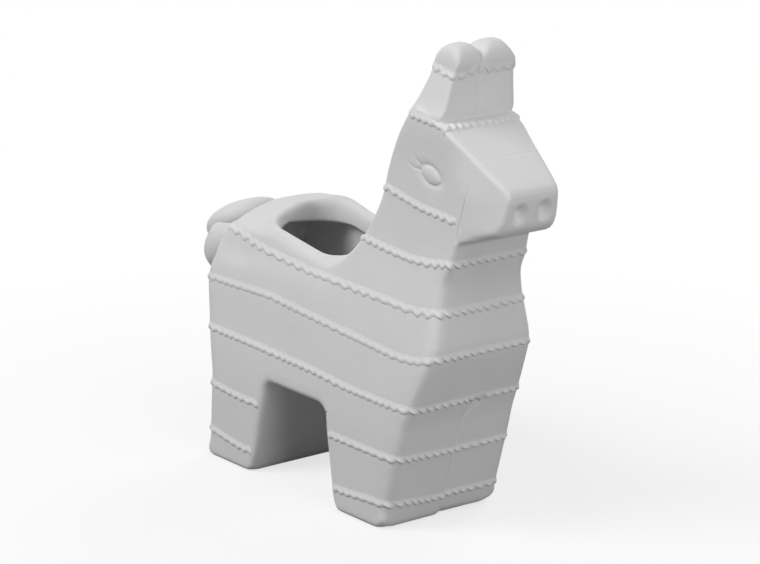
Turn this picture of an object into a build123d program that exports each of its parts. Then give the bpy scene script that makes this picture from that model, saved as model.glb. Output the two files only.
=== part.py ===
from build123d import *
import os

# The animal faces +X, stands on Z = 0 and is mirrored about Y = 0.
# All lengths are in millimetres.

# Lengths along X
tail_reach = 24.0
body_length = 171.0
nose_reach = 32.0
overall_length = tail_reach + body_length + nose_reach
rump_x = tail_reach - overall_length / 2
chest_x = rump_x + body_length
nose_x = chest_x + nose_reach

# Legs and the arch between them
heel_inset = 5.0
hind_foot_length = 38.0
hind_arch_lean = 14.0
toe_inset = 30.5
front_foot_length = 34.0
front_arch_lean = 13.0
arch_height = 47.0
arch_radius = 9.0
hind_heel_x = rump_x + heel_inset
hind_toe_x = hind_heel_x + hind_foot_length
arch_rear_x = hind_toe_x + hind_arch_lean
front_toe_x = chest_x - toe_inset
front_heel_x = front_toe_x - front_foot_length
arch_front_x = front_heel_x - front_arch_lean

# Heights of the trunk and the head, each built on the one below
trunk_depth = 75.0
saddle_dip = 8.5
throat_rise = 25.5
cheek_depth = 35.5
brow_rise = 13.0
brow_top_rise = 7.0
poll_rise = 8.5
crown_height = arch_height + trunk_depth
saddle_height = crown_height - saddle_dip
throat_height = saddle_height + throat_rise
bridge_height = throat_height + cheek_depth
brow_height = bridge_height + brow_rise
brow_top_height = brow_height + brow_top_rise
poll_height = brow_height + poll_rise
neck_length = poll_height - saddle_height

# Side view of the trunk and neck: places and roundings as shares of the sizes they follow
rump_level_share = 0.547
chest_level_share = 0.493
neck_front_level_share = 0.933
rump_round_share = 0.347
crown_round_share = 0.213
chest_round_share = 0.533
neck_front_round_share = 0.667
crown_inset_share = 0.114
saddle_inset_share = 0.43
nape_inset_share = 0.29
crest_inset_share = 0.234
poll_inset_share = 0.143
nape_level_share = 0.25
crest_level_share = 0.66
saddle_round_share = 0.29
nape_round_share = 0.72
crest_round_share = 0.84
rump_height = arch_height + rump_level_share * trunk_depth
chest_height = arch_height + chest_level_share * trunk_depth
neck_front_height = arch_height + neck_front_level_share * trunk_depth
nape_height = saddle_height + nape_level_share * neck_length
crest_height = saddle_height + crest_level_share * neck_length
crown_x = rump_x + crown_inset_share * body_length
saddle_x = chest_x - saddle_inset_share * body_length
nape_x = chest_x - nape_inset_share * body_length
crest_x = chest_x - crest_inset_share * body_length
poll_x = chest_x - poll_inset_share * body_length

# Side view of the head; its top is hidden between the ears
brow_inset = 1.5
brow_top_inset = 2.5
throat_reach_share = 0.25
bridge_reach_share = 0.484
throat_reach = throat_reach_share * nose_reach
bridge_reach = bridge_reach_share * nose_reach
brow_x = chest_x - brow_inset
throat_x = chest_x + throat_reach
bridge_x = chest_x + bridge_reach

# Widths in front view
body_width = 66.0
flank_width_share = 0.86
neck_width_share = 0.65
head_width_share = 0.606
flank_width = flank_width_share * body_width
neck_width = neck_width_share * body_width
head_width = head_width_share * body_width
thigh_level_share = 0.6
neck_level_share = 0.65
thigh_height = thigh_level_share * arch_height
flank_height = rump_height
neck_height = saddle_height + neck_level_share * throat_rise

# Walls, rounded edges and the planting mouth
wall = 5.0
edge_radius = 4.0
mouth_length = 64.0
mouth_width_share = 0.545
mouth_width = mouth_width_share * body_width
mouth_radius = 14.0
mouth_inset = 32.5
mouth_x = rump_x + mouth_inset + mouth_length / 2
overrun = 40.0

# Muzzle with its two nostrils
chin_setback = 3.5
chin_rise = 7.0
nose_rise = 17.0
nose_width_share = 0.65
cheek_step = 0.5
muzzle_root_share = 0.25
muzzle_edge_radius = 3.5
muzzle_wall_share = 0.19
nose_width = nose_width_share * head_width
muzzle_width = head_width - 2 * cheek_step
muzzle_root = muzzle_root_share * nose_reach
muzzle_wall = muzzle_wall_share * nose_reach
nostril_gap = 14.0
nostril_width = 6.6
nostril_length = 9.6
nostril_drop = 2.0
nostril_depth = 3.0
chin_height = throat_height + chin_rise
nose_height = chin_height + nose_rise

# Ears, which stand side by side and meet on the centre plane
ear_base_rise = 1.0
ear_shank = 24.5
ear_cap = 10.0
ear_rear_inset = 28.5
ear_bend_inset = 13.5
ear_tip_inset = 7.5
ear_front_inset = 2.0
ear_base_inset = 3.0
ear_step = 0.6
ear_bend_width_share = 0.9
ear_tip_share = 0.52
ear_width = head_width / 2 - ear_step
ear_bend_width = ear_bend_width_share * ear_width
ear_tip_y = ear_tip_share * ear_width
ear_bend_round_share = 0.8
ear_tip_round_share = 0.3
ear_front_round_share = 0.5
ear_base_height = brow_height + ear_base_rise
ear_bend_height = ear_base_height + ear_shank
ear_tip_height = ear_bend_height + ear_cap

# Eyes
eye_length = 14.0
eye_height = 6.5
eye_inset = 12.5
eye_level_share = 0.73
eye_tilt = 20.0
eye_relief = 1.2
eye_root = 3.0
eye_level = throat_height + eye_level_share * cheek_depth

# Tail tufts, each a ball stretched to its own length, width and height
lower_tuft_length = 30.0
lower_tuft_width = 40.0
lower_tuft_height = 30.0
lower_tuft_drop = 29.0
upper_tuft_length = 33.0
upper_tuft_width = 40.0
upper_tuft_height = 18.0
upper_tuft_drop = 12.5
upper_tuft_setback = 1.5
upper_tuft_tilt = 24.0
lower_tuft_x = lower_tuft_length / 2 - overall_length / 2
upper_tuft_x = upper_tuft_length / 2 + upper_tuft_setback - overall_length / 2

# Fringe strips
fringe_relief = 1.1
fringe_height = 3.0
hoof_level_share = 0.213
knee_level_share = 0.734
belly_level_share = 0.173
flank_level_share = 0.513
collar_level_share = 0.51
back_rear_drop = 10.0
back_front_drop = 8.9
cheek_rise = 8.5
cheek_lift = 4.5
brow_fringe_drop = 2.0
brow_fringe_lift = 2.5
ear_fringe_drop = 3.5
hoof_end_gap = 4.0
knee_end_gap = 3.0
hoof_level = hoof_level_share * arch_height
knee_level = knee_level_share * arch_height
belly_level = arch_height + belly_level_share * trunk_depth
flank_level = arch_height + flank_level_share * trunk_depth
back_rear_level = crown_height - back_rear_drop
back_front_level = saddle_height - back_front_drop
neck_level = saddle_height + collar_level_share * throat_rise
cheek_front_level = throat_height + cheek_rise
cheek_rear_level = cheek_front_level + cheek_lift
brow_front_level = brow_height - brow_fringe_drop
brow_rear_level = brow_front_level + brow_fringe_lift
ear_fringe_level = ear_bend_height - ear_fringe_drop

# A face is on the animal's flank when more than this share of its normal points along Y
side_normal_share = 0.8

# Turn that puts a ball's seam at its rear, away from what it sits on
half_turn = 180.0


def side_outline(grow):
    corners = (
        ((hind_heel_x, 0), 0),
        ((hind_toe_x, 0), 0),
        ((arch_rear_x, arch_height), arch_radius),
        ((arch_front_x, arch_height), arch_radius),
        ((front_heel_x, 0), 0),
        ((front_toe_x, 0), 0),
        ((chest_x, chest_height), chest_round_share * trunk_depth),
        ((chest_x, neck_front_height), neck_front_round_share * trunk_depth),
        ((throat_x, throat_height), 0),
        ((bridge_x, bridge_height), 0),
        ((brow_x, brow_height), 0),
        ((chest_x - brow_top_inset, brow_top_height), 0),
        ((poll_x, poll_height), 0),
        ((crest_x, crest_height), crest_round_share * neck_length),
        ((nape_x, nape_height), nape_round_share * neck_length),
        ((saddle_x, saddle_height), saddle_round_share * neck_length),
        ((crown_x, crown_height), crown_round_share * trunk_depth),
        ((rump_x, rump_height), rump_round_share * trunk_depth),
    )
    points = [point for point, radius in corners]
    radii = [radius for point, radius in corners]
    with BuildSketch(Plane.XZ.offset(-body_width)) as outline:
        with BuildLine():
            FilletPolyline(*points, radius=radii, close=True)
        make_face()
        if grow:
            offset(amount=grow, kind=Kind.INTERSECTION)
    return outline.sketch


def front_outline(grow):
    top = poll_height + overrun
    flank = (
        (body_width / 2 + grow, -overrun),
        (body_width / 2 + grow, thigh_height),
        (flank_width / 2 + grow, flank_height),
        (neck_width / 2 + grow, neck_height),
        (head_width / 2 + grow, brow_height),
        (head_width / 2 + grow, top),
    )
    with BuildSketch(Plane.YZ.offset(-overall_length)) as outline:
        with BuildLine():
            right_line = Spline(*flank, tangents=((0, 1), (0, 1)))
            left_line = mirror(right_line, about=Plane.YZ)
            Line(right_line @ 0, left_line @ 0)
            Line(right_line @ 1, left_line @ 1)
        make_face()
    return outline.sketch


def animal_form(grow, radius):
    with BuildPart() as form:
        extrude(side_outline(grow), amount=2 * body_width)
        extrude(front_outline(grow), amount=2 * overall_length, mode=Mode.INTERSECT)
        side_faces = form.faces().filter_by(lambda face: abs(face.normal_at().Y) > side_normal_share)
        other_faces = form.faces().filter_by(lambda face: face not in side_faces)
        other_edges = set(other_faces.edges())
        rims = [edge for edge in side_faces.edges() if edge in other_edges]
        if radius:
            fillet(rims, radius)
    return form.part


def muzzle_form(shrink):
    root_x = throat_x - muzzle_root
    root_height = bridge_height + muzzle_root * (brow_height - bridge_height) / (bridge_x - brow_x)
    side = (
        (root_x, throat_height),
        (nose_x - chin_setback, chin_height),
        (nose_x, nose_height),
        (bridge_x - muzzle_root, root_height),
    )
    cheek = (
        (root_x, muzzle_width / 2 - shrink),
        (throat_x, muzzle_width / 2 - shrink),
        (nose_x, nose_width / 2 - shrink),
    )
    with BuildPart() as form:
        with BuildSketch(Plane.XZ.offset(-body_width)):
            with BuildLine():
                Polyline(*side, close=True)
            make_face()
            if shrink:
                offset(amount=-shrink, kind=Kind.INTERSECTION)
        extrude(amount=2 * body_width)
        with BuildSketch(Plane.XY):
            with BuildLine():
                right_line = Spline(*cheek)
                left_line = mirror(right_line, about=Plane.XZ)
                Line(right_line @ 0, left_line @ 0)
                Line(right_line @ 1, left_line @ 1)
            make_face()
        extrude(amount=poll_height, mode=Mode.INTERSECT)
        if not shrink:
            hidden = form.faces().sort_by(Axis.X)[0]
            rims = form.edges().filter_by(lambda edge: edge not in hidden.edges())
            fillet(rims, muzzle_edge_radius)
    return form.part


def ear_form(grow):
    side = (
        (chest_x - ear_rear_inset, ear_base_height),
        (chest_x - ear_bend_inset, ear_bend_height),
        (chest_x - ear_tip_inset, ear_tip_height),
        (chest_x - ear_front_inset, ear_bend_height),
        (chest_x - ear_base_inset, ear_base_height),
    )
    front = (
        (0, ear_base_height),
        (-ear_width, ear_base_height),
        (-ear_bend_width, ear_bend_height),
        (-ear_tip_y, ear_tip_height),
        (0, ear_bend_height),
    )
    bend_radius = ear_bend_round_share * ear_cap
    tip_radius = ear_tip_round_share * ear_cap
    front_radius = ear_front_round_share * ear_cap
    side_radii = (0, bend_radius, tip_radius, front_radius, 0)
    front_radii = (0, 0, front_radius, front_radius, 0)
    with BuildPart() as form:
        with BuildSketch(Plane.XZ.offset(-body_width)):
            with BuildLine():
                FilletPolyline(*side, radius=side_radii, close=True)
            make_face()
            if grow:
                offset(amount=grow, kind=Kind.INTERSECTION)
        extrude(amount=2 * body_width)
        with BuildSketch(Plane.YZ.offset(-overall_length)):
            with BuildLine():
                FilletPolyline(*front, radius=front_radii, close=True)
            make_face()
            if grow:
                offset(amount=grow, kind=Kind.INTERSECTION)
        extrude(amount=2 * overall_length, mode=Mode.INTERSECT)
    return form.part


def ball_form(length, width, height):
    with BuildPart() as form:
        Sphere(1, rotation=(0, 0, half_turn))
        scale(by=(length / 2, width / 2, height / 2))
    return form.part


def right_strip(shell, path, neighbours):
    """Right half of the shell, cut to a band along a path of X stations and levels."""
    lower = [(x, level - fringe_height / 2) for x, level in path]
    upper = [(x, level + fringe_height / 2) for x, level in reversed(path)]
    with BuildPart() as strip:
        add(shell)
        with BuildSketch(Plane.XZ):
            with BuildLine():
                Polyline(*lower, *upper, close=True)
            make_face()
        extrude(amount=body_width, mode=Mode.INTERSECT)
        for neighbour in neighbours:
            add(neighbour, mode=Mode.SUBTRACT)
    return strip.part


def keep(part, name):
    part.label = name
    export_step(part, f"parts/{name}.step")
    print(name, len(part.solids()), round(part.volume), part.is_valid)


os.makedirs("parts", exist_ok=True)

outer_form = animal_form(0, edge_radius)
inner_form = animal_form(-wall, 0)
grown_form = animal_form(fringe_relief, edge_radius + fringe_relief)

# Half shells, split where the two halves of the casting meet
with BuildPart() as right_half_shell:
    add(outer_form)
    add(inner_form, mode=Mode.SUBTRACT)
    with BuildSketch(Plane.XY.offset(flank_height)):
        with Locations((mouth_x, 0)):
            RectangleRounded(mouth_length, mouth_width, mouth_radius)
    extrude(amount=overrun, mode=Mode.SUBTRACT)
    add(muzzle_form(muzzle_wall), mode=Mode.SUBTRACT)
    split(bisect_by=Plane.XZ, keep=Keep.TOP)
keep(right_half_shell.part, "right_half_shell")

with BuildPart() as left_half_shell:
    mirror(right_half_shell.part, about=Plane.XZ)
keep(left_half_shell.part, "left_half_shell")

# Muzzle
nose_base = Vector(nose_x - chin_setback, 0, chin_height)
nose_line = Vector(nose_x, 0, nose_height) - nose_base
nose_plane = Plane(origin=nose_base + nose_line / 2, x_dir=(0, 1, 0), z_dir=Vector(0, 1, 0).cross(nose_line))
with BuildPart() as muzzle:
    add(muzzle_form(0))
    add(muzzle_form(muzzle_wall), mode=Mode.SUBTRACT)
    with Locations(nose_plane):
        with Locations((-nostril_gap / 2, -nostril_drop), (nostril_gap / 2, -nostril_drop)):
            add(ball_form(nostril_width, nostril_length, 2 * nostril_depth), mode=Mode.SUBTRACT)
    add(outer_form, mode=Mode.SUBTRACT)
keep(muzzle.part, "muzzle")

# Ears
with BuildPart() as right_ear:
    add(ear_form(0))
    add(outer_form, mode=Mode.SUBTRACT)
keep(right_ear.part, "right_ear")

with BuildPart() as left_ear:
    mirror(right_ear.part, about=Plane.XZ)
keep(left_ear.part, "left_ear")

# Eyes
eye_plane = Plane(
    origin=(chest_x - eye_inset, eye_root - head_width / 2, eye_level),
    x_dir=Vector(1, 0, 0).rotate(Axis.Y, eye_tilt),
    z_dir=(0, -1, 0),
)
with BuildPart() as right_eye:
    with BuildSketch(eye_plane):
        with BuildLine():
            upper_lid = ThreePointArc((-eye_length / 2, 0), (0, eye_height / 2), (eye_length / 2, 0))
            ThreePointArc(upper_lid @ 0, (0, -eye_height / 2), upper_lid @ 1)
        make_face()
    extrude(amount=eye_root + eye_relief)
    add(outer_form, mode=Mode.SUBTRACT)
keep(right_eye.part, "right_eye")

with BuildPart() as left_eye:
    mirror(right_eye.part, about=Plane.XZ)
keep(left_eye.part, "left_eye")

# Tail
with BuildPart() as upper_tail_tuft:
    with Locations(Location((upper_tuft_x, 0, crown_height - upper_tuft_drop), (0, -upper_tuft_tilt, 0))):
        add(ball_form(upper_tuft_length, upper_tuft_width, upper_tuft_height))
    add(outer_form, mode=Mode.SUBTRACT)
keep(upper_tail_tuft.part, "upper_tail_tuft")

with BuildPart() as lower_tail_tuft:
    with Locations((lower_tuft_x, 0, crown_height - lower_tuft_drop)):
        add(ball_form(lower_tuft_length, lower_tuft_width, lower_tuft_height))
    add(outer_form, mode=Mode.SUBTRACT)
    add(upper_tail_tuft.part, mode=Mode.SUBTRACT)
keep(lower_tail_tuft.part, "lower_tail_tuft")

# Fringe strips, each on the right and mirrored to the left
with BuildPart() as relief_shell:
    add(grown_form)
    add(outer_form, mode=Mode.SUBTRACT)

with BuildPart() as ear_relief:
    add(ear_form(fringe_relief))
    add(ear_form(0), mode=Mode.SUBTRACT)

rear_end = -overall_length
front_end = overall_length
hind_hoof = ((rear_end, hoof_level), (hind_toe_x - hoof_end_gap, hoof_level))
front_hoof = ((front_heel_x + hoof_end_gap, hoof_level), (front_end, hoof_level))
hind_knee = ((rear_end, knee_level), (hind_toe_x + knee_end_gap, knee_level))
front_knee = ((front_heel_x - knee_end_gap, knee_level), (front_end, knee_level))
belly = ((rear_end, belly_level), (front_end, belly_level))
flank = ((rear_end, flank_level), (front_end, flank_level))
back = (
    (rear_end, back_rear_level),
    (rump_x, back_rear_level),
    (chest_x, back_front_level),
    (front_end, back_front_level),
)
neck = ((0, neck_level), (front_end, neck_level))
cheek = (
    (0, cheek_rear_level),
    (nape_x, cheek_rear_level),
    (throat_x, cheek_front_level),
)
brow = (
    (0, brow_rear_level),
    (poll_x, brow_rear_level),
    (brow_x, brow_front_level),
    (bridge_x, brow_front_level),
)
ear_ring = ((0, ear_fringe_level), (front_end, ear_fringe_level))
body = relief_shell.part
tail = (upper_tail_tuft.part, lower_tail_tuft.part)
head_pieces = (muzzle.part, right_ear.part)
strips = {
    "hind_hoof_fringe": (body, hind_hoof, ()),
    "front_hoof_fringe": (body, front_hoof, ()),
    "hind_knee_fringe": (body, hind_knee, ()),
    "front_knee_fringe": (body, front_knee, ()),
    "belly_fringe": (body, belly, ()),
    "flank_fringe": (body, flank, tail),
    "back_fringe": (body, back, tail),
    "neck_fringe": (body, neck, ()),
    "cheek_fringe": (body, cheek, head_pieces),
    "brow_fringe": (body, brow, head_pieces),
    "ear_fringe": (ear_relief.part, ear_ring, ()),
}
for name, values in strips.items():
    right = right_strip(*values)
    keep(right, f"right_{name}")
    with BuildPart() as left:
        mirror(right, about=Plane.XZ)
    keep(left.part, f"left_{name}")
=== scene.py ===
# %% [markdown]
# # A donkey planter in white bisque
# The real object is one slip-cast figure: clay slip is poured into a two-part plaster mould, left to
# form a wall, drained, and fired once without glaze. That gives a hollow body with soft edges, a seam
# on the centre plane and a chalky surface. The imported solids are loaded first. They fix the frame, so
# every piece below is modelled in place, in metres, on the same axes: nose to +X, left side to +Y.

# %% Load the frame
import math

import bmesh
import bpy
import numpy as np
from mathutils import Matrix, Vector
from mathutils.bvhtree import BVHTree


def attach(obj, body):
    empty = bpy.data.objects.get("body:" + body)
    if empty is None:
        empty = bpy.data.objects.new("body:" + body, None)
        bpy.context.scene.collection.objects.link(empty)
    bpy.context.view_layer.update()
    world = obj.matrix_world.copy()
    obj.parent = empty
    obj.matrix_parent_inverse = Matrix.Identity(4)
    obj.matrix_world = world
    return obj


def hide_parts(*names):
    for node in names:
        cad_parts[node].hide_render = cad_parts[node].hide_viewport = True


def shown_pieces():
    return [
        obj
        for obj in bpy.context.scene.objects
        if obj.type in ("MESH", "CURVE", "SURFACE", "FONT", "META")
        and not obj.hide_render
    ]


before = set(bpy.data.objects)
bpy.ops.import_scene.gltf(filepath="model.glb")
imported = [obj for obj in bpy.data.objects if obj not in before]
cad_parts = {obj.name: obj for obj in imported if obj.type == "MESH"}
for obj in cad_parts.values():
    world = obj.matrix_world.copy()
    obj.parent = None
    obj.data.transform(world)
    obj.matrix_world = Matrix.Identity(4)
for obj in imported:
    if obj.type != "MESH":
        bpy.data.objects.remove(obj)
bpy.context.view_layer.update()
MM = 0.001

# %% [markdown]
# ## Helpers for the meshes
# Every piece starts from a few vertices or a created shape, is worked with mesh operators, and then
# becomes an object that rides on the root body. Working in millimetres keeps the numbers readable, so
# the helper scales a finished mesh to metres. Smooth shading suits cast clay, because even its sharpest
# edges are a few tenths of a millimetre round.

# %% Turn a mesh into a piece
def make_piece(bm, name, nodes, closed=True):
    bmesh.ops.scale(bm, vec=(MM, MM, MM), verts=bm.verts)
    if closed:
        bmesh.ops.recalc_face_normals(bm, faces=bm.faces)
    for face in bm.faces:
        face.smooth = True
    mesh = bpy.data.meshes.new(name)
    bm.to_mesh(mesh)
    bm.free()
    piece = bpy.data.objects.new(name, mesh)
    bpy.context.scene.collection.objects.link(piece)
    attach(piece, "root")
    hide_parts(*nodes)
    print(name, "faces:", len(mesh.polygons))
    return piece


def step(low, high, value):
    """0 at low and beyond it, 1 at high and beyond it, smooth between. Low may be the larger one."""
    t = min(max((value - low) / (high - low), 0.0), 1.0)
    return t * t * (3.0 - 2.0 * t)


def read_table(table, value, spread=0.0):
    """Value from a table of pairs, averaged over a spread so that its corners are soft."""
    places = np.linspace(value - spread, value + spread, 9)
    return float(np.mean(np.interp(places, [row[0] for row in table], [row[1] for row in table])))


# %% [markdown]
# ## The body as a rounded slab
# Seen from the side, the trunk, legs, neck and head share one outline, and the photograph shows flanks
# that are nearly flat. So the body starts as that outline: a face with one vertex per corner, where a
# vertex bevel rounds each corner by its own radius. Extruding it gives a slab, and an edge bevel rounds
# the slab's two rims. A sculpted or remeshed body would lose these crisp, even edges.

# %% Side outline with rounded corners
FOOT_EDGE = 4.4
SIDE_CORNERS = (
    (-85.3, 0.0, FOOT_EDGE), (-48.2, 0.0, FOOT_EDGE), (-36.6, 47.0, 5.5), (8.2, 47.0, 6.5),
    (15.8, 0.0, FOOT_EDGE), (51.6, 0.0, FOOT_EDGE), (66.8, 50.0, 30.0), (82.8, 86.0, 24.0),
    (80.8, 113.0, 40.0), (88.6, 137.0, 3.0), (111.0, 143.8, 7.5), (115.0, 162.4, 5.0),
    (77.4, 187.2, 4.4), (69.5, 191.0, 4.4), (56.8, 193.0, 4.4), (40.4, 169.6, 70.0),
    (32.0, 135.0, 60.0), (8.0, 114.5, 26.0), (-77.0, 125.4, 15.0), (-90.2, 88.0, 24.0),
    (-82.6, 42.0, 25.0),
)
SLAB = 33.4
RIM = 4.0


def rounded_face(bm, corners, place):
    """Face through the corners, each rounded by a vertex bevel of its own radius."""
    verts = [bm.verts.new(place(x, z)) for x, z, radius in corners]
    bm.faces.new(verts)
    count = len(corners)
    for i, (x, z, radius) in enumerate(corners):
        here = Vector((x, z))
        before = (Vector(corners[i - 1][:2]) - here).normalized()
        after = (Vector(corners[(i + 1) % count][:2]) - here).normalized()
        turn = math.pi - before.angle(after)
        bmesh.ops.bevel(
            bm, geom=[verts[i]], offset=radius * math.tan(turn / 2), offset_type="ABSOLUTE",
            segments=max(2, round(radius * turn / 2.2)), profile=0.5, affect="VERTICES",
            material=-1, clamp_overlap=False)
    return max(bm.faces, key=lambda face: len(face.verts))


body = bmesh.new()
outline = rounded_face(body, SIDE_CORNERS, lambda x, z: (x, -SLAB, z))
ring = [(loop.vert.co.x, loop.vert.co.z) for loop in outline.loops]
edge_runs = np.array(list(zip(ring, ring[1:] + ring[:1])))
print("outline points:", len(body.verts), "faces:", len(body.faces))

# %% Extrude the slab and round its rims
swept = bmesh.ops.extrude_face_region(body, geom=[outline])["geom"]
far_side = [g for g in swept if isinstance(g, bmesh.types.BMVert)]
bmesh.ops.translate(body, vec=(0, 2 * SLAB, 0), verts=far_side)
bmesh.ops.recalc_face_normals(body, faces=body.faces)
rims = [e for e in body.edges if abs(e.verts[0].co.y - e.verts[1].co.y) < 0.01]
bmesh.ops.bevel(body, geom=rims, offset=RIM, offset_type="OFFSET", segments=5, profile=0.5,
                affect="EDGES", material=-1, clamp_overlap=False, loop_slide=True)
print("slab faces:", len(body.faces))


# %% Cut the slab into a grid
def cut(bm, normal, places, inside=None):
    """Cuts along parallel planes, over the faces whose middle lies inside."""
    for place in places:
        faces = [f for f in bm.faces if inside is None or inside(f.calc_center_median())]
        edges = {e for f in faces for e in f.edges}
        verts = {v for f in faces for v in f.verts}
        bmesh.ops.bisect_plane(bm, geom=[*verts, *edges, *faces], dist=1e-4,
                               plane_co=Vector(normal) * place, plane_no=normal)


cut(body, (1, 0, 0), np.arange(-88.0, 112.0, 4.0))
cut(body, (0, 0, 1), np.arange(6.0, 196.0, 4.0))
cut(body, (0, 1, 0), (-22, -16, -11, -7, -3.5, -1.6, -0.6, 0, 0.6, 1.6, 3.5, 7, 11, 16, 22))
cut(body, (0, 1, 0), (-28, -26, -24, 24, 26, 28),
    lambda p: p.z < 18 or (p.z < 130 and (p.x > 40 or p.x < -70)))
cut(body, (0, 0, 1), (1.2, 2.6, 4.2, 8, 12), lambda p: p.z < 18)
cut(body, (1, 0, 0), (-83, -80, -56, -52, 19, 22, 46.5, 49.5), lambda p: p.z < 18)
print("grid faces:", len(body.faces))

# %% [markdown]
# ## Taper, crown and muzzle
# The slab is now pulled into the figure by a few smooth rules on its vertices. Its half-width shrinks
# from the feet to the head. The rim vertices move as one, so the rounding keeps its radius. The back is
# crowned like a low roof, and the muzzle narrows towards the nose in front of a crease on the cheek.
# The upright edges of the chest, the rump and the feet are rounded further, as a wet sponge leaves them.

# %% Shape the slab
HALF_WIDTH = (
    (0, SLAB), (40, SLAB), (60, 32.4), (84, 29.6), (105, 25.8),
    (127, 21.5), (150, 20), (170, 20), (187, 21.2), (215, 18),
)
NOSE_WIDTH = ((145, 15.6), (163, 13.5))
BRIDGE_TAPER = 16.0
CROWN = ((-95, 6.0), (-66, 5.5), (-46, 1.5), (0, 1.0), (28, 0.0))
SWELL = ((-95, 1.8), (-20, 1.8), (40, 0.0))


def crease_x(z):
    return 87.2 + (z - 139.7) * 0.27


def nose_x(z):
    return 111.0 + (z - 145.4) * 0.221


def nearest_on_outline(x, z):
    start, run = edge_runs[:, 0], edge_runs[:, 1] - edge_runs[:, 0]
    share = np.clip(((np.array((x, z)) - start) * run).sum(1) / (run * run).sum(1), 0, 1)
    spots = start + run * share[:, None]
    return spots[np.argmin(((spots - (x, z)) ** 2).sum(1))]


def foot_line(low, high):
    """Where a leg's edge meets the floor, and how far it leans for each millimetre up."""
    return low[0], (high[0] - low[0]) / (high[1] - low[1])


hind_heel, hind_toe, arch_rear, arch_front, front_heel, front_toe, front_knee = SIDE_CORNERS[:7]
FEET = ((*foot_line(hind_heel, SIDE_CORNERS[-1]), *foot_line(hind_toe, arch_rear)),
        (*foot_line(front_heel, arch_front), *foot_line(front_toe, front_knee)))
FOOT_RIM = 2.0


def round_foot(x, y, z):
    """Rounds the foot's four upright corners in plan, more towards the floor."""
    if z > 14:
        return x, y
    extra = (3.0 if y < 0 else 5.0) if x > 34 else 1.6
    radius = FOOT_RIM + extra * (1.0 - step(0.0, 12.0, z))
    rear, rear_lean, front, front_lean = FEET[0 if x < -20 else 1]
    middle = (rear + rear_lean * z + front + front_lean * z) / 2
    toe = FOOT_EDGE - math.sqrt(FOOT_EDGE ** 2 - min(max(FOOT_EDGE - z, 0.0), FOOT_EDGE) ** 2)
    side = FOOT_RIM - math.sqrt(FOOT_RIM ** 2 - min(max(FOOT_RIM - z, 0.0), FOOT_RIM) ** 2)
    half_x = front + front_lean * z - middle - toe
    half_y = SLAB - side
    over_x, over_y = abs(x - middle) - half_x + radius, abs(y) - half_y + radius
    reach = math.hypot(over_x, over_y)
    if over_x <= 0 or over_y <= 0 or reach <= radius:
        return x, y
    share = radius / reach
    return (math.copysign(half_x - radius + over_x * share, x - middle) + middle,
            math.copysign(half_y - radius + over_y * share, y))


CHEST_ROUND = 6.5
RUMP_ROUND = 5.5


def outline_ends(z):
    """Rearmost and foremost place of the outline at a height below the head."""
    low, high = edge_runs[:, 0], edge_runs[:, 1]
    crossed = (np.minimum(low[:, 1], high[:, 1]) <= z) & (np.maximum(low[:, 1], high[:, 1]) > z)
    share = (z - low[crossed, 1]) / (high[crossed, 1] - low[crossed, 1])
    places = low[crossed, 0] + share * (high[crossed, 0] - low[crossed, 0])
    return float(places.min()), float(places.max())


def round_upright(x, y, z, width):
    """Rounds the upright edges of the chest and the rump in plan."""
    if not 0 < z < 134 or -70 < x < 40:
        return x, y
    rear, front = outline_ends(z)
    if x > 0:
        radius = CHEST_ROUND * step(-4, 10, z) * (1.0 - step(116, 134, z))
        over_x = x - front + radius
    else:
        radius = RUMP_ROUND * step(-4, 10, z) * (1.0 - step(98, 114, z))
        over_x = rear + radius - x
    over_y = abs(y) - width + radius
    reach = math.hypot(over_x, over_y)
    if over_x <= 0 or over_y <= 0 or reach <= radius:
        return x, y
    inward = 1.0 - radius / reach
    return x - math.copysign(over_x * inward, x), math.copysign(abs(y) - over_y * inward, y)


def shape_slab(bm):
    for v in bm.verts:
        x, y, z = v.co
        if abs(y) > SLAB - RIM - 0.01:
            near = nearest_on_outline(x, z)
            gap = math.hypot(near[0] - x, near[1] - z)
            if gap < RIM + 0.05:
                tight = 0.72 - 0.22 * step(126, 140, z) - 0.12 * step(18, 8, z)
                if -52 < x < 11 and z < 58:
                    tight += 0.28 * (step(24, 40, z) if x > -20 else step(8, 24, z))
                tight += 0.4 * step(89, 97, x) * (1.0 - step(146, 152, z)) * step(139, 142, z)
                x, z = near[0] + (x - near[0]) * tight, near[1] + (z - near[1]) * tight
                y = math.copysign(SLAB - (SLAB - abs(y)) * tight, y)
        width = read_table(HALF_WIDTH, z, 7.0)
        start = crease_x(z) - BRIDGE_TAPER * step(156, 180, z)
        forward = (x - start) / (nose_x(z) - start)
        if z > 130 and forward > 0:
            width += min(forward, 1.0) * (read_table(NOSE_WIDTH, z) - width)
        width += read_table(SWELL, x, 10.0) * step(66, 114, z)
        flat = SLAB - RIM
        if abs(y) <= flat:
            y *= (width - RIM) / flat
        else:
            y = math.copysign(abs(y) - SLAB + width, y)
        drop = read_table(CROWN, x, 5.0) * step(90, 116, z)
        lean = 0.17 * y * step(-92, -64, x) if y < 0 else 0.09 * y * step(-82, -58, x)
        tilt = lean * step(96, 115, z) * (1.0 - step(-2, 24, x))
        drop *= 1.0 if y < 0 else 0.45
        x, y = round_upright(x, y, z, width)
        v.co = (*round_foot(x, y, z), z + tilt - drop * (abs(y) / 25.0) ** 2)


shape_slab(body)
print("width at the feet:", round(2 * max(v.co.y for v in body.verts), 1))

# %% [markdown]
# ## Muzzle crease, nostrils and eye sockets
# These are small marks in the mould, so they are pressed into the same skin. Each one first gets extra
# cuts where it lies, along its own direction, so that the grid stays coarse elsewhere. Then the vertices
# there sink along their normals by a rule: a groove beside a line, a bowl for a nostril.

# %% Cut finer lines where the marks lie
def on_head(low_x, high_x, low_z, high_z):
    return lambda p: low_x < p.x < high_x and low_z < p.z < high_z


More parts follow.
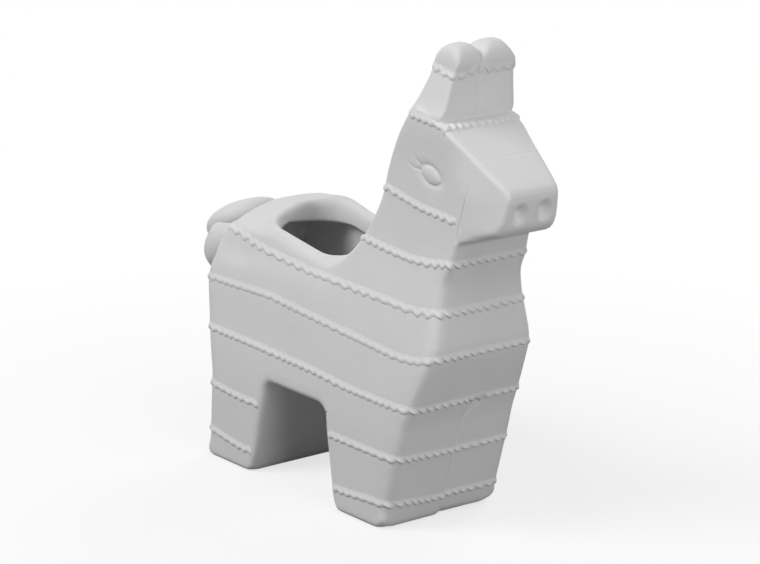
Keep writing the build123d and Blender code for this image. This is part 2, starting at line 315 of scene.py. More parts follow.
CREASE_NORMAL = Vector((1.0, 0, -0.27)).normalized()
CREASE_PLACE = CREASE_NORMAL.dot(Vector((87.2, 0, 139.7)))
cut(body, CREASE_NORMAL, [CREASE_PLACE + d for d in (-1.0, -0.5, -0.2, 0, 0.2, 0.5, 1.0)],
    on_head(78, 106, 132, 190))
cut(body, (0, 1, 0), [s * y for s in (-1, 1) for y in np.arange(2.2, 12.2, 0.8)],
    on_head(105, 120, 146, 165))
cut(body, (0, 0, 1), np.arange(147.2, 162.0, 0.8), on_head(105, 120, 140, 170))
cut(body, (0, 0, 1), np.arange(45.0, 61.5, 1.1),
    lambda p: p.x > 45 and abs(p.y) < 12 and 42 < p.z < 64)
cut(body, (0, 1, 0), (-0.25, 0.25, 0.9, 2.4, 4.6, 5.8, 7.2, 8.6),
    lambda p: p.x > 42 and p.z < 64 and abs(p.y) < 12)
cut(body, (1, 0, 0), np.arange(51.4, 79.0, 0.6), on_head(49, 80, 156, 174))
cut(body, (0, 0, 1), np.arange(157.6, 173.0, 0.6), on_head(50, 79, 155, 176))
print("faces with fine cuts:", len(body.faces))

# %% Press the marks in
EYE = Vector((69.0, 163.7))
EYE_HALF = (7.2, 4.1)
EYE_TILT = math.radians(-15)
LASHES = (((53.2, 167.2), (57.5, 165.0), (62.4, 165.0)), ((57.4, 171.7), (59.0, 169.6), (62.2, 167.2)))


def eye_place(x, z):
    """Along and across the eye, in shares of its half sizes."""
    dx, dz = x - EYE.x, z - EYE.y
    along = dx * math.cos(EYE_TILT) + dz * math.sin(EYE_TILT)
    across = dz * math.cos(EYE_TILT) - dx * math.sin(EYE_TILT)
    return along / EYE_HALF[0], across / EYE_HALF[1]


def line_gap(point, line):
    """Distance from a point to a run of straight pieces, and the share of the run passed there."""
    best = (1e9, 0.0)
    for i in range(len(line) - 1):
        a, b = Vector(line[i]), Vector(line[i + 1])
        t = min(max((point - a).dot(b - a) / (b - a).length_squared, 0.0), 1.0)
        gap = (point - a.lerp(b, t)).length
        best = min(best, (gap, (i + t) / (len(line) - 1)))
    return best


def mark_depth(p, normal):
    depth = 0.0
    if p.z > 135 and 78 < p.x < 106:
        side = CREASE_NORMAL.dot(p) - CREASE_PLACE
        strength = 0.38 * step(168, 163, p.z) if abs(normal.y) > 0.6 else 0.12
        depth += strength * math.exp(-(side / 0.3) ** 2) * step(137, 141, p.z)
    if p.x > 45 and p.z < 62 and normal.x > 0.4:
        fade = 1.0 - step(57.5, 61.0, p.z)
        left = step(-0.3, 0.9, p.y) * (1.0 - step(6.0, 20.0, p.y))
        depth += fade * (0.45 * math.exp(-((p.y - 0.2) / 0.5) ** 2) + 0.55 * left)
        across, down = (p.y - 0.2) / 6.5, (59.0 - p.z) / 11.0
        if p.y > 0.2 and down < 1.0:
            ramp = across / max(1.0 - down, 0.05)
            rise = ramp if ramp < 1.0 else math.exp(-((ramp - 1.0) * 1.6) ** 2)
            depth += 1.1 * fade * (1.0 - down) * rise
    if p.x > 105 and normal.x > 0.2:
        bowl = math.hypot((abs(p.y) - 6.7) / 4.9, (p.z - 153.0) / 5.7)
        depth += 3.4 * (1.0 - step(0.1, 1.0, bowl))
    if abs(normal.y) > 0.8 and 50 < p.x < 80 and 154 < p.z < 176:
        along, across = eye_place(p.x, p.z)
        lid = math.hypot(along, across)
        depth += 0.42 * math.exp(-((lid - 1.0) / 0.14) ** 2) + 0.3 * (1.0 - step(1.0, 1.8, lid))
        for lash in LASHES:
            gap, share = line_gap(Vector((p.x, p.z)), lash)
            depth += (0.15 + 0.3 * share) * math.exp(-(gap / 0.5) ** 2)
    return depth


body.normal_update()
for v in body.verts:
    v.co -= v.normal * mark_depth(v.co, v.normal)
    if v.co.x > 30 and v.co.z < 8:
        toe = step(-1.6, 1.0, v.co.y) + 0.6 * math.exp(-((v.co.y - 0.4) / 1.6) ** 2)
        v.co.z += 0.7 * toe * (1.0 - step(0.5, 8.0, v.co.z)) * step(32, 46, v.co.x)
print("marks pressed on", len(body.verts), "vertices")

# %% [markdown]
# ## The planting mouth
# The back opens in a long rounded mouth with a rolled rim and a collar that hangs into the hollow. The
# deck faces there are removed. A rounded rectangle makes the rim's first loop, it is bridged to the hole,
# and then the loop is extruded over the rim and down the collar. The rim dips towards the right side.

# %% Raise the deck towards the rim
MOUTH_X, MOUTH_LENGTH, MOUTH_WIDTH, MOUTH_CORNER = -23.0, 30.5, 20.0, 15.0
CREST = ((-60, 124.6), (-45, 123.8), (-20, 119.9), (-6, 117.8), (8, 117.8))


def mouth_gap(x, y):
    """Distance outside the mouth's outline, negative within it."""
    dx = abs(x - MOUTH_X) - MOUTH_LENGTH + MOUTH_CORNER
    dy = abs(y) - MOUTH_WIDTH + MOUTH_CORNER
    return math.hypot(max(dx, 0), max(dy, 0)) + min(max(dx, dy), 0) - MOUTH_CORNER


def crest_height(x, y):
    front = 3.4 * step(-8, 7, x) * (1.0 - step(4, 17, abs(y)))
    rear = 1.2 * step(-44, -52, x) * math.exp(-((y - 2.0) / 9.0) ** 2)
    along = 0.9 * math.exp(-((x + 51.0) / 11.0) ** 2) + 0.7 * math.exp(-((x + 38.0) / 6.0) ** 2)
    far_corner = step(7, 18, y) * along
    far_corner += 0.9 * math.exp(-((x + 50.0) / 5.0) ** 2 - ((y - 18.0) / 6.0) ** 2)
    return read_table(CREST, x, 6.0) + front + rear + far_corner + (0.18 if y < 0 else 0.07) * y - 0.3


def collar_foot(x, y):
    """Lower edge of the collar, which dips towards the far side and the neck."""
    return min(115.9 - 0.11 * y - 0.2 * max(x + 37.0, 0.0), crest_height(x, y) - 6.5)


for v in body.verts:
    x, y, z = v.co
    if z > 98 and x < 6 and v.normal.z > 0.25:
        behind = max(MOUTH_X - MOUTH_LENGTH + MOUTH_CORNER - x, 0.0)
        beside = max(abs(y) - MOUTH_WIDTH + MOUTH_CORNER, 0.0)
        reach = 6.0 + 13.0 * (behind / (behind + beside + 0.01)) ** 2
        reach += 10.0 * step(4, 15, y) * step(-36, -48, x)
        near = 1.0 - step(2.0, reach, mouth_gap(x, y))
        v.co.z += (crest_height(x, y) - 0.9 - z) * near
skin = body.copy()
skin.normal_update()
skin_tree = BVHTree.FromBMesh(skin)


def deck_height(x, y):
    return skin_tree.ray_cast(Vector((x, y, 160)), Vector((0, 0, -1)))[0].z


print("deck behind the mouth:", round(deck_height(-60, 0), 1), "rim there:", round(crest_height(-53, 0), 1))

# %% Open the deck
opened = [f for f in body.faces if f.normal.z > 0.25 and f.calc_center_median().z > 98
          and any(mouth_gap(v.co.x, v.co.y) < 3.7 for v in f.verts) and f.calc_center_median().x < 22]
bmesh.ops.delete(body, geom=opened, context="FACES")
hole = [e for e in body.edges if e.is_boundary]
print("mouth faces removed:", len(opened), "hole edges:", len(hole))

# %% Roll the rim and hang the collar
corners = [(MOUTH_X + sx * MOUTH_LENGTH, sy * MOUTH_WIDTH, MOUTH_CORNER)
           for sx, sy in ((-1, -1), (1, -1), (1, 1), (-1, 1))]
mouth = bmesh.new()
rounded_face(mouth, corners, lambda x, y: (x, y, 0))
sides = [e for e in mouth.edges if e.calc_length() > 4]
bmesh.ops.subdivide_edges(mouth, edges=sides, cuts=9, use_grid_fill=False)
RIM_LOOPS = ((2.7, -0.55), (1.8, -0.35), (0.9, -0.6), (0.1, -1.2), (-0.5, -2.0), (-1.0, -3.2), (-1.3, -4.8))
COLLAR_LOOPS = ((-1.4, 1.2), (-1.1, 0.0))
DECK_GAP = 3.6


def outward(x, y):
    """Direction out of the mouth's outline."""
    nudge = 0.01
    slope_x = mouth_gap(x + nudge, y) - mouth_gap(x - nudge, y)
    slope_y = mouth_gap(x, y + nudge) - mouth_gap(x, y - nudge)
    return Vector((slope_x, slope_y, 0)).normalized()


def next_row(bm, row, edges):
    """Extrudes a row of vertices, and gives the new row in the same order, with its edges."""
    made = bmesh.ops.extrude_edge_only(bm, edges=edges)["geom"]
    fresh = {g for g in made if isinstance(g, bmesh.types.BMVert)}
    row = [next(e.other_vert(v) for e in v.link_edges if e.other_vert(v) in fresh) for v in row]
    edges = [g for g in made if isinstance(g, bmesh.types.BMEdge) and all(v in fresh for v in g.verts)]
    return row, edges


start = [v.co.copy() for v in sorted(mouth.verts, key=lambda v: math.atan2(v.co.y, v.co.x - MOUTH_X))]
mouth.free()
loop = bmesh.ops.create_circle(body, segments=len(start), radius=1.0)["verts"]
loop_edges = list({e for v in loop for e in v.link_edges})
for v, p in zip(loop, start):
    place = p + outward(p.x, p.y) * DECK_GAP
    v.co = (place.x, place.y, deck_height(place.x, place.y))
bmesh.ops.bridge_loops(body, edges=hole + loop_edges)
for row, (gap, lift) in enumerate(RIM_LOOPS + COLLAR_LOOPS):
    loop, loop_edges = next_row(body, loop, loop_edges)
    level = crest_height if row < len(RIM_LOOPS) else collar_foot
    for v, p in zip(loop, start):
        place = p + outward(p.x, p.y) * gap
        v.co = (place.x, place.y, level(p.x, p.y) + lift)
print("collar foot from", round(min(v.co.z for v in loop), 1), "to", round(max(v.co.z for v in loop), 1))

# %% [markdown]
# ## A wall for the hollow body
# A slip casting has an even wall. The Solidify modifier offsets the whole skin inwards, so the hollow
# follows the outside, and the collar gets a thickness as well.

# %% Finish the body
CAST_WALL = 3.6
cast_body = make_piece(body, "cast_body", ["right_half_shell", "left_half_shell", "muzzle"])
wall = cast_body.modifiers.new("wall", "SOLIDIFY")
wall.thickness = CAST_WALL * MM
wall.offset = -1.0

# %% [markdown]
# ## Skins over rings
# The ears and the tail tufts are soft lumps with a changing section. Each one is a created circle that is
# set to the first section and then extruded from section to section. The two ends are closed by faces.

# %% A skin over a row of rings
def skin_over(bm, rings):
    loop = bmesh.ops.create_circle(bm, segments=len(rings[0]), radius=1.0)["verts"]
    edges = list({e for v in loop for e in v.link_edges})
    bmesh.ops.contextual_create(bm, geom=edges)
    for v, p in zip(loop, rings[0]):
        v.co = p
    for ring in rings[1:]:
        loop, edges = next_row(bm, loop, edges)
        for v, p in zip(loop, ring):
            v.co = p
    bmesh.ops.contextual_create(bm, geom=edges)


def squared_ring(centre, along, across, power, count=56):
    """Points round a centre, between a circle (power 2) and a rectangle (high power)."""
    points = []
    for i in range(count):
        c, s = math.cos(2 * math.pi * i / count), math.sin(2 * math.pi * i / count)
        grow = (abs(c) ** power + abs(s) ** power) ** (-1.0 / power)
        points.append(centre + along * (c * grow) + across * (s * grow))
    return points


# %% [markdown]
# ## Ears
# The two ears lean against each other on the centre plane. Their fronts are flat and crisp up to the tip
# band, and above it each tip is puffed into a soft block. The rows below give, for each height, the rear
# and front in X, the inner side in Y, the outer side of the right and left ear, and how square it is.

# %% Model the ears
EAR_ROWS = (
    (181.0, 50.6, 73.4, -0.8, 19.2, 19.2, 12.0), (186.0, 52.6, 74.8, -0.8, 20.6, 20.6, 12.0),
    (188.0, 53.2, 75.4, -0.8, 20.8, 20.9, 12.0), (189.6, 53.8, 76.0, -0.8, 20.7, 21.0, 12.0),
    (191.0, 54.4, 76.4, -0.8, 19.9, 20.9, 12.0), (193.0, 55.4, 76.7, -0.8, 18.8, 20.7, 12.0),
    (197.0, 57.3, 76.8, -0.8, 17.4, 20.4, 12.0), (202.0, 59.5, 76.8, -0.8, 15.9, 20.1, 12.0),
    (206.0, 61.1, 77.0, -0.8, 14.7, 19.9, 12.0), (208.6, 61.7, 77.6, -0.8, 14.0, 19.8, 11.0),
    (210.4, 62.0, 78.8, -0.7, 13.9, 19.7, 10.0), (212.4, 62.4, 79.4, -0.5, 13.8, 19.2, 8.5),
    (214.3, 63.1, 79.3, -0.2, 13.7, 18.2, 7.0), (216.0, 64.0, 78.8, 0.2, 13.4, 17.2, 5.6),
    (217.5, 65.1, 78.0, 0.7, 13.0, 16.2, 4.6), (218.8, 66.5, 76.9, 1.6, 12.2, 15.2, 3.9),
    (219.8, 68.3, 75.7, 2.8, 11.0, 14.0, 3.3), (220.4, 70.2, 74.6, 4.6, 9.4, 12.6, 2.8),
)
LEFT_TIP_LEAN = 2.2
EAR_POINTS = 96
ear_skins = {}
for side, sign, column in (("right", -1.0, 4), ("left", 1.0, 5)):
    ear = bmesh.new()
    rings = []
    for row in EAR_ROWS:
        z, rear, front, inner, outer, power = *row[:4], row[column], row[6]
        if sign > 0:
            inner += LEFT_TIP_LEAN * step(214, 219, z)
        centre = Vector(((rear + front) / 2, sign * (inner + outer) / 2, z))
        along = Vector(((front - rear) / 2, 0, 0))
        across = Vector((0, sign * (outer - inner) / 2, 0))
        rings.append(squared_ring(centre, along, across, power, EAR_POINTS))
    skin_over(ear, rings)
    bmesh.ops.recalc_face_normals(ear, faces=ear.faces)
    ear_skins[side] = ear.copy()
    make_piece(ear, side + "_ear_cast", [side + "_ear"])

# %% [markdown]
# ## Tail tufts
# The tail is three overlapping tufts that droop over the rump. Each tuft is a tongue: rounded rings set
# square to a straight spine that droops at its far end, thin at the rump and thin again at the tip.
# The last two tufts lie on each other and make one piece.

# %% Model the tail
TUFTS = (
    ("upper_tail", "upper_tail_tuft", (((-99.4, 108.8), 18.2, 7.4, 16.8, 207.0, 3.0),)),
    ("lower_tail", "lower_tail_tuft", (((-98.4, 97.8), 18.0, 12.0, 20.5, 236.0, 0.5),
                                       ((-90.0, 94.0), 17.0, 8.0, 21.5, 250.0, 0.5))),
)
TUFT_TAPER = 2.4
TUFT_SQUARE = 2.3


def tuft_rings(middle, half_length, half_depth, half_width, heading, droop):
    """Rings along a straight spine that droops at its far end."""
    run = Vector((math.cos(math.radians(heading)), 0, math.sin(math.radians(heading))))
    normal = Vector((-run.z, 0, run.x))
    rings = []
    for t in np.linspace(-0.985, 0.985, 22):
        full = (1.0 - abs(t) ** TUFT_TAPER) ** (1 / TUFT_TAPER)
        fall = Vector((0, 0, droop * max(t, 0.0) ** 2))
        centre = Vector((middle[0], 0, middle[1])) + run * (half_length * t) - fall
        across = Vector((0, half_width * full, 0))
        rings.append(squared_ring(centre, across, normal * (half_depth * full), TUFT_SQUARE))
    return rings


for name, node, lobes in TUFTS:
    tuft = bmesh.new()
    for lobe in lobes:
        skin_over(tuft, tuft_rings(*lobe))
    make_piece(tuft, name, [node])

# %% [markdown]
# ## Fringe bands
# Cut-paper fringe is imitated by bands that run round the figure: above each line the skin flares out by
# about a millimetre and ends in a scalloped lip with a small undercut. The line comes from cutting a copy
# of the skin with a plane, so it lies on the real surface. It is then extruded row by row, and each row
# is set on the skin again, a little higher or lower.

# %% Find the line of a band
def fringe_line(source, tree, point, normal, keep):
    line = source.copy()
    made = bmesh.ops.bisect_plane(line, geom=line.verts[:] + line.edges[:] + line.faces[:], dist=1e-5,
                                  plane_co=point, plane_no=normal)["geom_cut"]
    middle = {e: (e.verts[0].co + e.verts[1].co) / 2 for e in made if isinstance(e, bmesh.types.BMEdge)}
    kept = {e for e, p in middle.items() if keep(p, tree.find_nearest(p)[1])}
    bmesh.ops.delete(line, geom=line.faces[:], context="FACES_ONLY")
    bmesh.ops.delete(line, geom=[e for e in line.edges if e not in kept], context="EDGES")
    bmesh.ops.delete(line, geom=[v for v in line.verts if not v.link_edges], context="VERTS")
    bmesh.ops.remove_doubles(line, verts=line.verts, dist=0.02)
    for cuts in range(1, 40):
        edges = [e for e in line.edges if round(e.calc_length() / 0.5) - 1 == cuts]
        if edges:
            bmesh.ops.subdivide_edges(line, edges=edges, cuts=cuts)
    return line


def walk(line):
    """The line's vertices in order, as runs that are closed or open."""
    left = set(line.verts)
    runs = []
    while left:
        ends = [v for v in left if len(v.link_edges) == 1]
        run = [min(ends or left, key=lambda v: (round(v.co.y, 3), round(v.co.x, 3)))]
        left.discard(run[0])
        while True:
            further = [e.other_vert(run[-1]) for e in run[-1].link_edges if e.other_vert(run[-1]) in left]
            if not further:
                break
            run.append(min(further, key=lambda v: (round(v.co.x, 3), round(v.co.y, 3))))
            left.discard(run[-1])
        area = sum(a.co.x * b.co.y - b.co.x * a.co.y for a, b in zip(run, run[1:] + run[:1]))
        closed = not ends
        if area < 0:
            run.reverse()
        runs.append((run, closed))
    return runs


# %% Extrude a line into a scalloped band
FRINGE_ROWS = (
    (3.5, -0.06), (2.8, 0.03), (2.3, 0.13), (1.85, 0.28), (1.45, 0.46), (1.05, 0.61),
    (0.65, 0.70), (0.25, 0.70), (-0.15, 0.58), (-0.5, 0.36), (-0.8, 0.14), (-1.05, -0.15),
)
BAND_BACK = 0.8


def lay_fringe(name, nodes, sources, side_wave, front_wave, keep, point, normal=(0, 0, 1),
               swing=0.4, lift=None, beads=1.4, front_swing=0.9, front_rows=FRINGE_ROWS,
               lean=1.0, relief=0.86):
    """One band: a wave is the length of a tooth, swing its depth, and lift the band's own sag."""
    band = bmesh.new()
    for source, tree in sources:
        line = fringe_line(source, tree, Vector(point), Vector(normal).normalized(), keep)
        for run, closed in walk(line):
            along, phase, places = 0.0, 0.0, []
            if len(run) < 30:
                continue
            for before, v in zip([run[0]] + run, run):
                gap = (v.co - before.co).length
                face = tree.find_nearest(v.co)[1]
                front = 1.0 - abs(face.y) ** 2
                along += gap
                uneven = 1.0 + 0.22 * math.sin(along / 5.3) * math.sin(along / 13.7 + 1.0)
                phase += gap * uneven / (side_wave + (front_wave - side_wave) * front)
                places.append([v.co.copy(), along, phase, front, face.z])
            fit = round(phase) / phase if closed and round(phase) > 0 else 1.0
            total = along
            base = [band.verts.new(p[0]) for p in places]
            edges = [band.edges.new(pair) for pair in zip(base, base[1:])]
            if closed:
                edges.append(band.edges.new((base[-1], base[0])))
            for row, (side_row, front_row) in enumerate(zip(FRINGE_ROWS, front_rows)):
                if row:
                    base, edges = next_row(band, base, edges)
                for v, (place, along, phase, front, slope) in zip(base, places):
                    up = side_row[0] + (front_row[0] - side_row[0]) * front
                    proud = side_row[1] + (front_row[1] - side_row[1]) * front
                    proud *= relief + (1.0 - relief) * front
                    turn = phase * fit + lean * front * up / front_wave
                    tooth = 0.5 - 0.5 * math.cos(2 * math.pi * turn)
                    lip = 1.0 - step(1.2, 3.6, up) * (1.0 - front * (1.0 - lean))
                    drift = 1.0 + 0.5 * math.sin(along / 9.0 + 1.7) * math.sin(along / 23.0)
                    fade = 1.0 if closed else step(0.0, 2.5, min(along, total - along))
                    shift = 2.0 * swing * drift * (1.0 + (front_swing - 1.0) * front) * (0.5 - tooth) * lip
                    lifted = lift(place) if lift else 0.0
                    climb = 1.0 / max(math.sqrt(1.0 - slope * slope), 0.5)
                    target = place + Vector((0, 0, (up + shift + lifted) * climb))
                    spot, face = tree.find_nearest(target)[:2]
                    rope = beads * front * (0.6 + 0.4 * step(5, -20, place.y))
                    bulge = 1.0 + (0.3 + rope) * (tooth - 0.5) * lip
                    v.co = spot + face * (proud * (bulge if proud > 0 else 1.0) * fade - 0.12 * (1.0 - fade))
        line.free()
    band.normal_update()
    bmesh.ops.recalc_face_normals(band, faces=band.faces)
    facing = 0.0
    for f in list(band.faces)[::25]:
        hits = [tree.find_nearest(f.calc_center_median()) for source, tree in sources]
        facing += f.normal.dot(min(hits, key=lambda hit: hit[3])[1])
    if facing < 0:
        bmesh.ops.reverse_faces(band, faces=band.faces)
    piece = make_piece(band, name, nodes, closed=False)
    back = piece.modifiers.new("back", "SOLIDIFY")
    back.thickness = BAND_BACK * MM
    back.offset = -1.0
    return piece


def both(name):
    return ["right_" + name, "left_" + name]


# %% [markdown]
# ## Where the bands run
# The bands were laid by hand, so they are not level: on each flank they sag towards the chest. A table
# gives, for places along the body, how far a band leaves its cutting plane. On the front legs the bands
# also step at the seam, because the two halves of the mould didn't line up there. On the hind legs they
# rise towards the rear, and the ear band dips at the right ear's front corner.

# %% Sag of the bands
BELLY_SAG = ((-86, 3.0), (-46, 2.4), (0, 1.0), (24, -0.8), (50, -1.2), (72, -1.0))
FLANK_SAG = ((-88, 1.0), (-36, 2.2), (0, -0.6), (58, -4.6), (70, -3.8), (84, -1.0))
BACK_SAG = ((-80, 0.2), (-68, -0.8), (-50, -3.2), (-11, -4.4), (30, -3.4), (64, -2.8), (80, -0.5))
NECK_SAG = ((26, 0.3), (40, -1.4), (58, -2.6), (72, -1.8), (82, 0))
CHEEK_SAG = ((38, 0.2), (50, -1.0), (62, -2.3), (80, -2.0))


def sag(table):
    return lambda p: read_table(table, p.x, 4.0)


def hoof_step(p):
    if p.y > 0:
        return 0.2
    return 1.8 * step(18, 50, p.x) - 2.2 * step(-33, 0, p.y)


def knee_step(p):
    return -1.1 if p.y > 0 else -1.1 * step(-33, 0, p.y)


def ear_sag(p):
    """Lower at the right ear's front corner, and a little lower on the left ear."""
    if p.y > 0:
        return -1.0 * step(0, 8, p.y)
    return -2.2 * step(62, 76, p.x) * step(0, -13, p.y)


def rise_behind(height):
    return lambda p: height * step(-52, -88, p.x)


# %% Bands of the trunk and the legs
body_source = [(skin, skin_tree)]
ROUND = lambda p, n: True
bands = []
bands.append(lay_fringe(
    "belly_band", both("belly_fringe"), body_source, 5.0, 4.3, lambda p, n: n.z > -0.8, (0, 0, 60),
    relief=0.8, lift=sag(BELLY_SAG)))
bands.append(lay_fringe(
    "flank_band", both("flank_fringe"), body_source, 5.6, 4.3, ROUND, (0, 0, 85.5),
    swing=0.35, relief=0.66, lift=sag(FLANK_SAG)))
bands.append(lay_fringe(
    "back_band", both("back_fringe"), body_source, 7.4, 4.3, ROUND, (-76, 0, 112), (0.0468, 0, 1),
    swing=0.6, relief=0.7, lift=sag(BACK_SAG)))
LEGS = (("hind", lambda p, n: p.x < -15 and n.x < 0.6), ("front", lambda p, n: p.x > -15 and n.x > -0.6))
for leg, where in LEGS:
    for level, height, uneven, rise in (("hoof", 10.0, hoof_step, 3.4), ("knee", 34.5, knee_step, 1.8)):
        name = leg + "_" + level
        bands.append(lay_fringe(
            name + "_band", both(name + "_fringe"), body_source, 5.5, 4.3, where, (0, 0, height),
            lift=uneven if leg == "front" else rise_behind(rise)))

# %% Bands of the neck, the head and the ears
BROW_ROWS = (
    (3.2, -0.06), (2.8, 0.12), (2.3, 0.34), (1.8, 0.52), (1.2, 0.64), (0.6, 0.70),
    (0.1, 0.70), (-0.4, 0.62), (-0.8, 0.48), (-1.1, 0.30), (-1.35, 0.12), (-1.6, -0.15),
)
bands.append(lay_fringe(
    "neck_band", both("neck_fringe"), body_source, 5.2, 4.3, lambda p, n: p.x > 18, (0, 0, 126.5),
    swing=0.5, lift=sag(NECK_SAG)))
bands.append(lay_fringe(
    "cheek_band", both("cheek_fringe"), body_source, 5.2, 4.3, lambda p, n: p.x < crease_x(p.z) - 1.2,
    (38, 0, 152), (0.0874, 0, 1), swing=0.55, lift=sag(CHEEK_SAG)))
bands.append(lay_fringe(
    "brow_band", both("brow_fringe"), body_source, 5.0, 3.6, lambda p, n: n.x > -0.35, (57, 0, 187.7),
    (0.083, 0, 1), beads=1.6, front_swing=0.5, front_rows=BROW_ROWS, lean=0.0))
ear_source = [(bm, BVHTree.FromBMesh(bm)) for bm in ear_skins.values()]
bands.append(lay_fringe(
    "ear_band", both("ear_fringe"), ear_source, 5.0, 5.4, lambda p, n: abs(p.y) > 0.25, (74, 0, 209.0),
    swing=0.9, front_swing=0.75, beads=0.9, lean=0.6, lift=ear_sag))
print("bands:", len(bands))

# %% [markdown]
# ## Eyes
# Each eye is a raised almond inside its socket groove. It starts as a small sphere that is flattened and
# pinched towards both ends, and it is set on the cheek with the socket's tilt.

# %% Model the eyes
EYE_SEAT, EYE_RELIEF, EYE_FIT = 19.2, 1.25, 0.95
for side, sign in (("right", -1.0), ("left", 1.0)):
    eye = bmesh.new()
    bmesh.ops.create_uvsphere(eye, u_segments=40, v_segments=24, radius=1.0)
    for v in eye.verts:
        along, across, out = v.co.x, v.co.z, v.co.y
        pinch = (1.0 - along * along) ** 0.25 if abs(along) < 1 else 0.0
        ax, az = along * EYE_HALF[0] * EYE_FIT, across * EYE_HALF[1] * EYE_FIT * pinch
        x = ax * math.cos(EYE_TILT) - az * math.sin(EYE_TILT)
        z = ax * math.sin(EYE_TILT) + az * math.cos(EYE_TILT)
        v.co = (EYE.x + x, sign * (EYE_SEAT + EYE_RELIEF * out), EYE.y + z)
    make_piece(eye, side + "_eye_almond", [side + "_eye"])

# %% [markdown]
# ## The bisque finish
# Unglazed porcelain is matt, nearly white and slightly uneven: soft clouds a few centimetres wide from
# drying, a fine grain, and a few pin pores. Maths on sockets is written as plain Python through a small
# class, so a rule like clouds * 0.65 adds its own nodes.

# %% Shader helper
class Wire:
    """A socket in a node tree. Operators on it add Math nodes."""

    def __init__(self, tree, socket=None):
        self.tree, self.socket = tree, socket

    def add(self, kind, settings=None, sockets=None, out=0):
        node = self.tree.nodes.new(kind)
        for name, value in (settings or {}).items():
            setattr(node, name, value)
        for name, value in (sockets or {}).items():
            if isinstance(value, Wire):
                self.tree.links.new(value.socket, node.inputs[name])
            else:
                node.inputs[name].default_value = value
        return Wire(self.tree, node.outputs[out] if len(node.outputs) else None)

    def maths(self, operation, first, second):
        return self.add("ShaderNodeMath", {"operation": operation}, {0: first, 1: second})

    def __add__(self, other):
        return self.maths("ADD", self, other)

    def __mul__(self, other):
        return self.maths("MULTIPLY", self, other)

    def __sub__(self, other):
        return self.maths("SUBTRACT", self, other)

    def __rsub__(self, other):
        return self.maths("SUBTRACT", other, self)

    __radd__ = __add__
    __rmul__ = __mul__


def new_material(name):
    material = bpy.data.materials.new(name)
    material.use_nodes = True
    material.node_tree.nodes.clear()
    return material, Wire(material.node_tree)


# %% Bisque material
PORE_COLOUR = (0.45, 0.44, 0.42, 1)


def bisque(name, pale, cloud_colour, grain_depth):
    material, clay = new_material(name)
    place = clay.add("ShaderNodeTexCoord", out="Object")
    clouds = clay.add("ShaderNodeTexNoise", None, {
        "Vector": place, "Scale": 42.0, "Detail": 3.0, "Roughness": 0.55})
    grain = clay.add("ShaderNodeTexNoise", None, {
        "Vector": place, "Scale": 1500.0, "Detail": 4.0, "Roughness": 0.6})
    waves = clay.add("ShaderNodeTexNoise", None, {
        "Vector": place, "Scale": 190.0, "Detail": 2.0, "Roughness": 0.5})
    strokes = clay.add("ShaderNodeMapping", None, {"Vector": place, "Scale": (70.0, 70.0, 620.0)})
    wiped = clay.add("ShaderNodeTexNoise", None, {
        "Vector": strokes, "Scale": 1.0, "Detail": 3.0, "Roughness": 0.6})
    pores = clay.add("ShaderNodeTexVoronoi", {"feature": "F1"}, {"Vector": place, "Scale": 210.0})
    pin = clay.maths("LESS_THAN", pores, 0.06)
    shade = clouds * 0.65 + grain * 0.2 + wiped * 0.15
    rgba = {"data_type": "RGBA"}
    colour = clay.add("ShaderNodeMix", rgba, {"Factor": shade, 6: cloud_colour, 7: pale}, out=2)
    spotted = clay.add("ShaderNodeMix", rgba, {"Factor": pin * 0.10, 6: colour, 7: PORE_COLOUR}, out=2)
    height = grain * 0.5 + waves * 0.8 + wiped * 0.4 - pin * 0.5
    bump = clay.add("ShaderNodeBump", None, {"Height": height, "Strength": 0.5, "Distance": grain_depth})
    surface = clay.add("ShaderNodeBsdfPrincipled", None, {
        "Base Color": spotted, "Roughness": grain * 0.16 + 0.76, "Normal": bump, "Specular IOR Level": 0.3})
    clay.add("ShaderNodeOutputMaterial", None, {"Surface": surface})
    return material


body_bisque = bisque("bisque", (0.83, 0.83, 0.828, 1), (0.76, 0.76, 0.756, 1), 0.00022)
fringe_bisque = bisque("fringe_bisque", (0.85, 0.85, 0.848, 1), (0.78, 0.78, 0.776, 1), 0.00016)
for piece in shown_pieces():
    piece.data.materials.clear()
    piece.data.materials.append(fringe_bisque if piece in bands else body_bisque)

# %% [markdown]
# ## Floor and light
# The figure stands on a white sweep under one large soft key lamp, high on the camera's left. A high fill
# and a front fill lighten the chest and the face, and a rear fill the far side. The floor is white to the
# camera, but it keeps a soft shadow, and it sends back only a little light, so the arch and the chin stay
# dark as on the real thing.

# %% Floor
def seen_directly(wire):
    """1 on rays from the camera, straight or by way of a mirror or glass, and 0 on the others."""
    rays = [wire.add("ShaderNodeLightPath", out=name)
            for name in ("Is Camera Ray", "Is Glossy Ray", "Is Transmission Ray")]
    return wire.maths("MINIMUM", rays[0] + rays[1] + rays[2], 1.0)


def white_floor():
    material, paper = new_material("paper")
    direct = seen_directly(paper)
    diffuse = paper.add("ShaderNodeBsdfDiffuse", None, {"Color": (0.15, 0.15, 0.15, 1)})
    shown = paper.add("ShaderNodeBsdfDiffuse", None, {"Color": (0.95, 0.95, 0.95, 1)})
    glow = paper.add("ShaderNodeEmission", None, {"Color": (1, 1, 1, 1), "Strength": 1.0})
    place = paper.add("ShaderNodeTexCoord", out="Object")
    reach = paper.add("ShaderNodeVectorMath", {"operation": "LENGTH"}, {0: place}, out=1)
    far = paper.add("ShaderNodeMapRange", None, {
        "Value": reach, "From Min": 0.10, "From Max": 0.4, "To Min": 0.72, "To Max": 1.0})
    seen = paper.add("ShaderNodeMixShader", None, {"Fac": far, 1: shown, 2: glow})
    surface = paper.add("ShaderNodeMixShader", None, {"Fac": direct, 1: diffuse, 2: seen})
    paper.add("ShaderNodeOutputMaterial", None, {"Surface": surface})
    return material


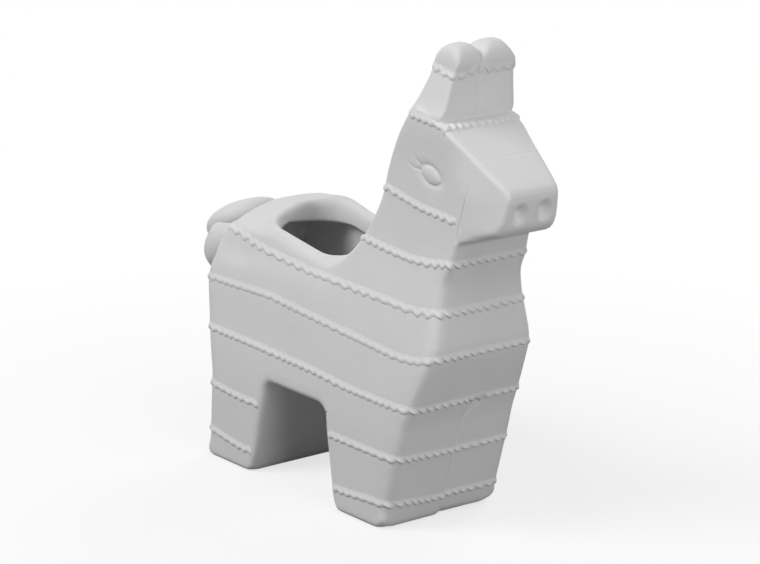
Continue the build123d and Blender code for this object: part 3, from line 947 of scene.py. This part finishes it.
sheet = bmesh.new()
bmesh.ops.create_grid(sheet, x_segments=8, y_segments=8, size=4.0)
floor_mesh = bpy.data.meshes.new("floor")
sheet.to_mesh(floor_mesh)
sheet.free()
floor = bpy.data.objects.new("floor", floor_mesh)
floor_mesh.materials.append(white_floor())
bpy.context.scene.collection.objects.link(floor)

# %% Camera
TARGET = Vector((7.8, 0, 99.7)) * MM
lens = bpy.data.cameras.new("view")
lens.lens = 142.1
lens.sensor_width = 36.0
lens.sensor_fit = "HORIZONTAL"
lens.clip_end = 20.0
camera = bpy.data.objects.new("view", lens)
camera.location = Vector((1044.7, -801.4, 461.9)) * MM
camera.rotation_euler = (TARGET - camera.location).to_track_quat("-Z", "Y").to_euler()
bpy.context.scene.collection.objects.link(camera)
bpy.context.scene.camera = camera
bpy.context.scene.view_settings.view_transform = "Standard"


# %% Lamps and world
def lamp(name, place, size, power):
    data = bpy.data.lights.new(name, "AREA")
    data.shape = "DISK"
    data.size = size
    data.energy = power
    obj = bpy.data.objects.new(name, data)
    obj.location = place
    obj.rotation_euler = (Vector((0, 0, 0.1)) - Vector(place)).to_track_quat("-Z", "Y").to_euler()
    bpy.context.scene.collection.objects.link(obj)


lamp("key", (-0.35, -1.1, 1.15), 0.9, 14.8)
lamp("high_fill", (0.95, -0.35, 1.35), 0.9, 3.2)
lamp("front_fill", (1.3, -0.1, 0.3), 0.8, 5.5)
lamp("rear_fill", (-0.5, 1.3, 0.8), 1.0, 8.0)
world = bpy.data.worlds.new("studio")
bpy.context.scene.world = world
world.use_nodes = True
world.node_tree.nodes.clear()
air = Wire(world.node_tree)
seen = seen_directly(air)
dim = air.add("ShaderNodeBackground", None, {"Color": (1, 1, 1, 1), "Strength": 0.18})
white = air.add("ShaderNodeBackground", None, {"Color": (1, 1, 1, 1), "Strength": 1.0})
sky = air.add("ShaderNodeMixShader", None, {"Fac": seen, 1: dim, 2: white})
air.add("ShaderNodeOutputWorld", None, {"Surface": sky})

# %% [markdown]
# ## Finishing
# The last cell brings the view layer up to date.

# %% Update the view layer
bpy.context.view_layer.update()
